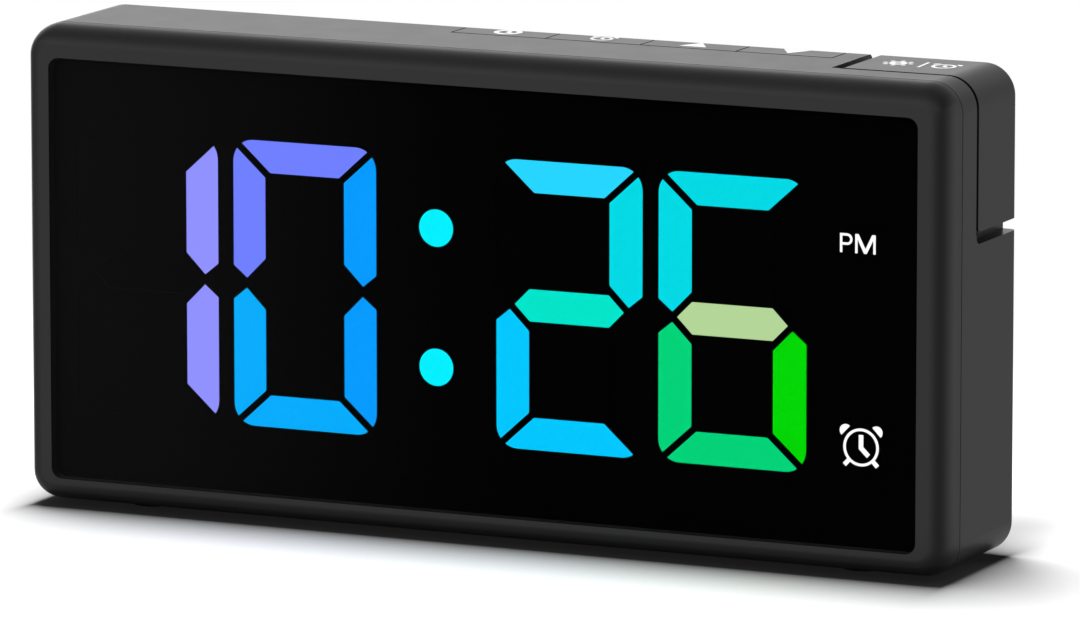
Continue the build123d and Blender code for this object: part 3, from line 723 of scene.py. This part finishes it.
for name, body, point in (("up", "up_button", 1), ("down", "down_button", -1)):
    sign = printed_sign(key_middle(name + "_key"), key_sign_depth)
    foot = -arrow_foot * point
    outline = [(-arrow_half, foot), (arrow_half, foot), (0, arrow_tip * point)]
    sign.plate(outline if point > 0 else outline[::-1])
    sign.finish(name + "_sign", white_ink, body, "key_plastic")

# %% [markdown]
# One press of the snooze bar dims the display or puts the alarm off. So its sign is a sun and a
# clock with bells, with a leaning stroke between them. All three are one piece, drawn from the
# middle of the clock's width. Eight short strokes round a ring are the rays of the sun.

# %% Sign on the snooze bar
bar_sign_depth = 20.5
sun_middle = (63.1, 0)
sun_radius = 1.45
sun_hole = 0.6
ray_count = 8
ray_near = 1.75
ray_far = 2.5
ray_line = 0.7
slash = [(67.5, -2.6), (67.2, 2.6)]
slash_line = 0.42
snooze_middle = (70.9, -0.3)
snooze_radius = 2.0
snooze_line = 0.55

sign = printed_sign(0, bar_sign_depth)
sign.ring(sun_middle, sun_radius, sun_hole, steps=32)
for ray in range(ray_count):
    angle = 360 / ray_count * ray
    sign.plate(stroke([around(sun_middle, ray_near, angle), around(sun_middle, ray_far, angle)], ray_line))
sign.plate(stroke(slash, slash_line))
alarm_clock(sign, snooze_middle, snooze_radius, snooze_line)
sign.finish("snooze_sign", white_ink, "snooze", "key_plastic")

# %% [markdown]
# Inside, hardly any of it in view, are the boards, the switches and the metal. They get finishes
# of their own all the same, because the inlet, the grille and the screw tunnels let some of them
# be seen, and because a piece that is lifted out should look like what it is. Most are plain with
# a fine mottle, rolled or turned metal has fine lines across, and a board shows its tracks.

# %% Inner finishes
line_scale = 1200.0
line_stretch = 14.0
line_relief = 0.002 * MM
track_scale = 420.0
track_edge = 0.62
track_relief = 0.03 * MM


def speckled(name, dark, light, size, roughness, relief=0.004 * MM):
    """A plain material with a fine mottle in its colour, roughness and surface."""
    material, finish = new_finish(name)
    mottle = finish.noise(size, detail=4.0)
    shader = finish.node("ShaderNodeBsdfPrincipled", None, {
        "Base Color": finish.blend(mottle, dark, light),
        "Roughness": roughness + 0.12 * mottle,
        "Normal": finish.bump(mottle, relief)})
    finish.surface(shader)
    return material


def brushed(name, dark, light, roughness):
    """Metal with fine lines across, as rolled or turned stock has."""
    material, finish = new_finish(name)
    coordinates = finish.node("ShaderNodeTexCoord").out("Object")
    stretched = finish.node("ShaderNodeMapping", None,
                            {"Vector": coordinates, "Scale": (1.0, 1.0, line_stretch)})
    lines = finish.node("ShaderNodeTexNoise", None,
                        {"Vector": stretched, "Scale": line_scale, "Detail": 3.0})
    shader = finish.node("ShaderNodeBsdfPrincipled", None, {
        "Base Color": finish.blend(lines, dark, light),
        "Roughness": roughness + 0.15 * lines,
        "Metallic": 1.0,
        "Normal": finish.bump(lines, line_relief)})
    finish.surface(shader)
    return material


def board_laminate():
    """Green solder resist with the copper tracks that show through it."""
    material, finish = new_finish("board_laminate")
    coordinates = finish.node("ShaderNodeTexCoord").out("Object")
    cells = finish.node("ShaderNodeTexVoronoi", {"distance": "MANHATTAN", "feature": "F1"},
                        {"Vector": coordinates, "Scale": track_scale})
    tracks = cells.out("Distance") > track_edge
    mottle = finish.noise(2 * MM, detail=3.0)
    base = finish.blend(mottle, (0.006, 0.05, 0.022, 1), (0.008, 0.065, 0.03, 1))
    shader = finish.node("ShaderNodeBsdfPrincipled", None, {
        "Base Color": finish.blend(tracks, base, (0.02, 0.13, 0.06, 1)),
        "Roughness": 0.3 + 0.1 * mottle,
        "Normal": finish.bump(tracks, track_relief)})
    finish.surface(shader)
    return material


finishes = {
    "reflector_white": speckled("reflector_white", grey(0.7), grey(0.78), 3 * MM, 0.45),
    "chip_resin": speckled("chip_resin", (0.75, 0.68, 0.3, 1), (0.85, 0.78, 0.4, 1), 0.5 * MM, 0.3),
    "board_laminate": board_laminate(),
    "chip_epoxy": speckled("chip_epoxy", grey(0.012), grey(0.02), 0.3 * MM, 0.5, relief=0.01 * MM),
    "connector_plastic": speckled("connector_plastic", grey(0.014), grey(0.02), 0.4 * MM, 0.4),
    "plunger_plastic": speckled("plunger_plastic", (0.5, 0.42, 0.3, 1), (0.58, 0.5, 0.38, 1), 1 * MM, 0.4),
    "nickel_steel": brushed("nickel_steel", grey(0.55), grey(0.68), 0.22),
    "contact_metal": brushed("contact_metal", (0.62, 0.5, 0.3, 1), (0.75, 0.62, 0.4, 1), 0.2),
    "screw_steel": brushed("screw_steel", grey(0.3), grey(0.42), 0.3),
    "can_aluminium": brushed("can_aluminium", grey(0.7), grey(0.8), 0.3),
    "foot_rubber": speckled("foot_rubber", grey(0.012), grey(0.018), 0.35 * MM, 0.7, relief=0.02 * MM),
    "case_plastic": case_plastic,
    "key_plastic": key_plastic,
    "window_acrylic": window_finish,
    "mask_film": mask_finish,
    "lens_resin": lens_off,
}
print("finishes:", len(finishes))

# %% [markdown]
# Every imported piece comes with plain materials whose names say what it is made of, and each of
# them gives way to the finish of that name. The digits, the colon, the housing and the snooze bar
# have finishes of their own, because what they show depends on the place.

# %% Dress every piece
own_finishes = {name + "_lenses": finish for name, finish in digit_finishes.items()}
own_finishes["colon_lenses"] = colon_light
own_finishes["rear_housing"] = housing_plastic
own_finishes["snooze_bar"] = bar_plastic

for name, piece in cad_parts.items():
    for index, old in enumerate(piece.material_slots):
        base = old.material.name.split(".")[0] if old.material else "case_plastic"
        piece.material_slots[index].material = own_finishes.get(name) or finishes.get(base, case_plastic)
used = sorted({slot.material.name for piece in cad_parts.values() for slot in piece.material_slots})
print("in use:", used)

# %% [markdown]
# The clock stands on white paper. The camera sees plain white with the clock's shadow, and the
# white comes from a glow that only camera rays meet, so it puts no light on the clock. The shadow
# is partly the overhead lamp's and partly painted: close to the clock a painted shadow tones the
# paper darker, as it looks where a very wide light is kept out: most at the foot, and further out
# behind it than in front. Reflections look through the paper, but for a patch close to the clock,
# and find the studio that the next cells make.

# %% Paper floor
foot_inset = 1 * MM
side_squeeze = 3.5
painted_foot_shadows = ((0.5, 3 * MM), (0.42, 10 * MM))
painted_back_shadow = 0.4
back_start, back_full = half_depth - 12 * MM, half_depth + 6 * MM
side_start, side_end = half_width - 10 * MM, half_width + 7 * MM
fade_start, fade_end = 20 * MM, 45 * MM
white_least = 0.009
white_start, white_full = 70 * MM, 200 * MM
mirror_end = 30 * MM
fibre_size = 1.5 * MM


def painted_floor_shadow(finish, x, y):
    """How much the painted shadow darkens the paper: 0 far from the clock and nearly 1 under it."""
    under_x = finish.beyond(x, half_width - foot_inset) * side_squeeze
    under_y = finish.beyond(y, half_depth - foot_inset)
    reach = finish.diagonal(under_x, under_y)
    foot = [tone * finish.maths("EXPONENT", reach / -width) for tone, width in painted_foot_shadows]
    behind = finish.rise(y, back_start, back_full)
    beside = finish.rise(abs(x), side_start, side_end)
    faded = finish.rise(finish.beyond(y, half_depth), fade_start, fade_end)
    return foot[0] + foot[1] + painted_back_shadow * behind * (1 - beside) * (1 - faded)


def floor_paper():
    material, finish = new_finish("floor_paper")
    x, y = finish.place()[:2]
    gone = finish.diagonal(finish.beyond(x, half_width), finish.beyond(y, half_depth))
    path = finish.node("ShaderNodeLightPath")
    camera_ray = path.out("Is Camera Ray")
    fibre = finish.noise(fibre_size, detail=4.0)
    paper = finish.blend(fibre, grey(0.43), grey(0.47))
    bright_paper = finish.blend(fibre, grey(1.28), grey(1.32))
    # painted shadow: the paper's colour for camera rays goes to black close to the clock, on top of the
    # lamp's real shadow
    seen_paper = finish.blend(painted_floor_shadow(finish, x, y), bright_paper, grey(0.0))
    lit = finish.node("ShaderNodeBsdfDiffuse", None, {"Color": finish.blend(camera_ray, paper, seen_paper)})
    white = finish.node("ShaderNodeEmission", None, {"Color": grey(1.0), "Strength": 1.0})
    whiter = white_least + (1 - white_least) * finish.rise(gone, white_start, white_full)
    direct = finish.node("ShaderNodeMixShader", None, {0: whiter * camera_ray, 1: lit, 2: white})
    through = finish.node("ShaderNodeBsdfTransparent")
    see_through = path.out("Is Glossy Ray") * finish.rise(gone, 0.0, mirror_end)
    finish.surface(finish.node("ShaderNodeMixShader", None, {0: see_through, 1: direct, 2: through}))
    return material


floor_half = 3.0
floor_data = bpy.data.meshes.new("paper_floor")
floor_data.from_pydata([(-floor_half, -floor_half, 0), (floor_half, -floor_half, 0),
                        (floor_half, floor_half, 0), (-floor_half, floor_half, 0)], [], [(0, 1, 2, 3)])
floor_data.materials.append(floor_paper())
floor = bpy.data.objects.new("paper_floor", floor_data)
bpy.context.scene.collection.objects.link(floor)
print("floor", 2 * floor_half, "m wide")

# %% [markdown]
# A dark case on white shows little more than what it mirrors, so its edges are drawn by what
# stands around it, as a photographer draws them with white cards and black flags. Here they are a
# ring whose brightness depends on direction alone, so a flat face mirrors one even tone. Straight
# in front of the clock is 0 degrees, and positive angles turn to the right. A ramp holds no more
# than 1, so the levels are divided by a gain and multiplied by it again.

# %% Ring of cards and flags
ring_gain = 1.4
ring_levels = (
    (-180, 0.7), (-160, 1.08), (-150, 1.3), (-138, 0.8), (-112, 0.1), (-70, 0.3), (-45, 0.5),
    (-29, 0.72), (-23, 0.83), (-5, 0.76), (21, 0.63), (44, 0.42), (64, 0.3), (80, 0.27),
    (94, 0.33), (106, 0.56), (117, 0.76), (128, 0.82), (138, 0.88), (148, 0.42), (156, 0.29),
    (168, 0.4), (180, 0.7))


def ramp_stops(levels, low, high, gain=1.0):
    """Levels at places from low to high, as the stops of a ramp."""
    return [((place - low) / (high - low), grey(level / gain)) for place, level in levels]


def ring_level(finish, x, y):
    """How bright the studio is in a direction round the clock."""
    turn = finish.maths("ARCTAN2", x, y * -1.0) / (2 * pi) + 0.5
    stops = ramp_stops(ring_levels, -180, 180, ring_gain)
    return finish.node("ShaderNodeValToRGB", {"stops": stops}, {0: turn}) * ring_gain


print("levels in the ring:", len(ring_levels))

# %% [markdown]
# Above the ring hangs a canopy that is bright in front and behind and dark between, which gives the
# rounded top edges their bands. The ring turns into the canopy as the direction rises. The camera,
# and what is seen through glass, finds plain white. All other rays find a weak even light.

# %% Surroundings
canopy_levels = (
    (-1.0, 0.83), (-0.91, 0.78), (-0.57, 0.5), (-0.17, 0.2), (0.1, 0.09), (0.34, 0.09),
    (0.55, 0.15), (0.68, 0.23), (0.89, 0.4), (1.0, 0.7))
canopy_start, canopy_full = 0.15, 0.5
ambient = 0.17
not_zero = 0.0001

world = bpy.data.worlds.new("studio")
world.use_nodes = True
bpy.context.scene.world = world
world.cycles.sampling_method = "NONE"
studio = Finish(world.node_tree)
path = studio.node("ShaderNodeLightPath")
direction = studio.node("ShaderNodeTexCoord").out("Generated")
split = studio.node("ShaderNodeSeparateXYZ", None, {0: direction})
across, back, over = split, split.out("Y"), split.out("Z")
arch = back / studio.maths("SQRT", back * back + over * over + not_zero)
canopy = studio.node("ShaderNodeValToRGB", {"stops": ramp_stops(canopy_levels, -1, 1)},
                     {0: arch * 0.5 + 0.5})
lifted = studio.rise(over, canopy_start, canopy_full)
mirrored = ring_level(studio, across, back) * (1 - lifted) + canopy * lifted
glossy = path.out("Is Glossy Ray")
clear_view = studio.maths("MAXIMUM", path.out("Is Camera Ray"), path.out("Is Transmission Ray"))
strength = studio.maths("MAXIMUM", clear_view, glossy * mirrored + (1 - glossy) * ambient)
background = studio.node("ShaderNodeBackground", None, {"Color": grey(1.0), "Strength": strength})
studio.node("ShaderNodeOutputWorld", None, {"Surface": background})
print("studio ambient", ambient)

# %% [markdown]
# Two lamps light the clock. A soft box overhead casts the soft shadow on the paper, and a wide card
# in front fills the window's frame. Light linking keeps the card's light off the paper, so that it
# doesn't wash the shadow out. Neither lamp is mirrored, since the ring already does that.

# %% Lamps
lamp_aim = Vector((0, 0, 0.04))


def soft_lamp(name, place, size, power, floor_too=True):
    """A rectangular soft light that looks at the middle of the clock."""
    data = bpy.data.lights.new(name, "AREA")
    data.shape = "RECTANGLE"
    data.size, data.size_y = size
    data.energy = power
    lamp = bpy.data.objects.new(name, data)
    lamp.location = place
    lamp.rotation_euler = (lamp_aim - Vector(place)).to_track_quat("-Z", "Y").to_euler()
    lamp.visible_glossy = False
    lamp.visible_camera = False
    bpy.context.scene.collection.objects.link(lamp)
    if not floor_too:
        spared = bpy.data.collections.new(name + "_spared")
        spared.objects.link(floor)
        lamp.light_linking.receiver_collection = spared
        spared.collection_objects[0].light_linking.link_state = "EXCLUDE"
    print(name, power, "W")


soft_lamp("overhead_softbox", place=(-0.1, 0.09, 1.0), size=(0.38, 0.56), power=9.8)
soft_lamp("front_card", place=(-0.5, -1.2, 0.7), size=(1.0, 0.8), power=14.0, floor_too=False)
